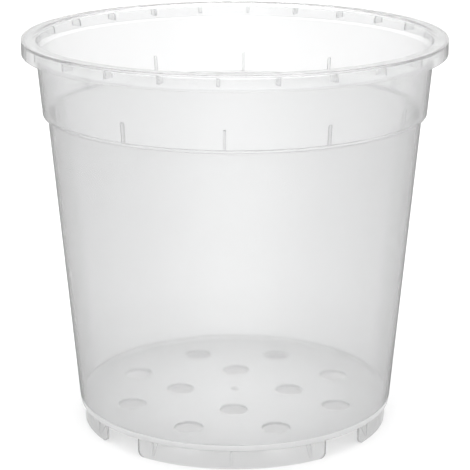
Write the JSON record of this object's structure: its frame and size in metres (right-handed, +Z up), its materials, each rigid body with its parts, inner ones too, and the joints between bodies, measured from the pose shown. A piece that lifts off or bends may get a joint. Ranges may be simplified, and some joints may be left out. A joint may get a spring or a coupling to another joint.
{
  "type": "orchid pot",
  "caption": "Clear round orchid pot with a stepped collar, turned-down rim, perforated floor and arc feet parted by drainage slots.",
  "frame": {"origin": "centre of the ring that the feet stand on, at ground level", "axes": "+Z up along the pot's axis, -Y to the front, the side that the picture shows"},
  "size_m": [0.17, 0.17, 0.1605],
  "materials": {
    "clear_plastic": "natural translucent polypropylene, smooth with a light haze"
  },
  "bodies": {
    "root": {"rim_flange": "clear_plastic", "rim_skirt": "clear_plastic", "collar_wall": "clear_plastic", "shoulder_ledge": "clear_plastic", "body_wall": "clear_plastic", "base_floor": "clear_plastic", "foot_front": "clear_plastic", "foot_right": "clear_plastic", "foot_back": "clear_plastic", "foot_left": "clear_plastic", "gate_dome": "clear_plastic", "gate_stub": "clear_plastic", "rim_gusset_01": "clear_plastic", "rim_gusset_02": "clear_plastic", "rim_gusset_03": "clear_plastic", "rim_gusset_04": "clear_plastic", "rim_gusset_05": "clear_plastic", "rim_gusset_06": "clear_plastic", "rim_gusset_07": "clear_plastic", "rim_gusset_08": "clear_plastic", "rim_gusset_09": "clear_plastic", "rim_gusset_10": "clear_plastic", "rim_gusset_11": "clear_plastic", "rim_gusset_12": "clear_plastic", "rim_gusset_13": "clear_plastic", "rim_gusset_14": "clear_plastic", "rim_gusset_15": "clear_plastic", "rim_gusset_16": "clear_plastic", "rim_gusset_17": "clear_plastic", "rim_gusset_18": "clear_plastic", "rim_gusset_19": "clear_plastic", "rim_gusset_20": "clear_plastic", "rim_gusset_21": "clear_plastic", "rim_gusset_22": "clear_plastic", "rim_gusset_23": "clear_plastic", "rim_gusset_24": "clear_plastic", "stacking_rib_01": "clear_plastic", "stacking_rib_02": "clear_plastic", "stacking_rib_03": "clear_plastic", "stacking_rib_04": "clear_plastic", "stacking_rib_05": "clear_plastic", "stacking_rib_06": "clear_plastic", "stacking_rib_07": "clear_plastic", "stacking_rib_08": "clear_plastic", "stacking_rib_09": "clear_plastic", "stacking_rib_10": "clear_plastic", "stacking_rib_11": "clear_plastic", "stacking_rib_12": "clear_plastic", "foot_gusset_01": "clear_plastic", "foot_gusset_02": "clear_plastic", "foot_gusset_03": "clear_plastic", "foot_gusset_04": "clear_plastic", "foot_gusset_05": "clear_plastic", "foot_gusset_06": "clear_plastic", "foot_gusset_07": "clear_plastic", "foot_gusset_08": "clear_plastic", "foot_gusset_09": "clear_plastic", "foot_gusset_10": "clear_plastic", "foot_gusset_11": "clear_plastic", "foot_gusset_12": "clear_plastic"}
  },
  "joints": []
}
